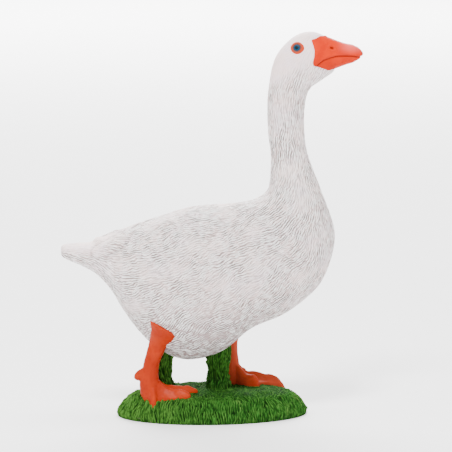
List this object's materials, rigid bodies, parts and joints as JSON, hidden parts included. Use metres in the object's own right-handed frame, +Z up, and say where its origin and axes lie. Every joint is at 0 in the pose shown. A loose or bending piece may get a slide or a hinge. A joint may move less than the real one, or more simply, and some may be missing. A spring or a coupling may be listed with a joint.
{
  "type": "goose figurine",
  "caption": "Moulded and painted figurine of a white goose walking on an oval mound of grass, carried by its legs and by tufts of grass under its belly.",
  "frame": {"origin": "middle of the mound's flat underside", "axes": "+X the way the goose faces, +Y towards its left, +Z up"},
  "size_m": [0.058, 0.0238, 0.0736],
  "materials": {
    "plumage_paint": "warm white paint on moulded PVC, satin, carved with fine feather strokes",
    "bill_and_leg_paint": "orange paint on moulded PVC, semi-gloss",
    "eye_paint": "blue and black paint, glossy",
    "grass_paint": "two greens, brushed over carved blades of grass, satin"
  },
  "bodies": {
    "root": {"goose_figurine": "plumage_paint"}
  },
  "joints": []
}
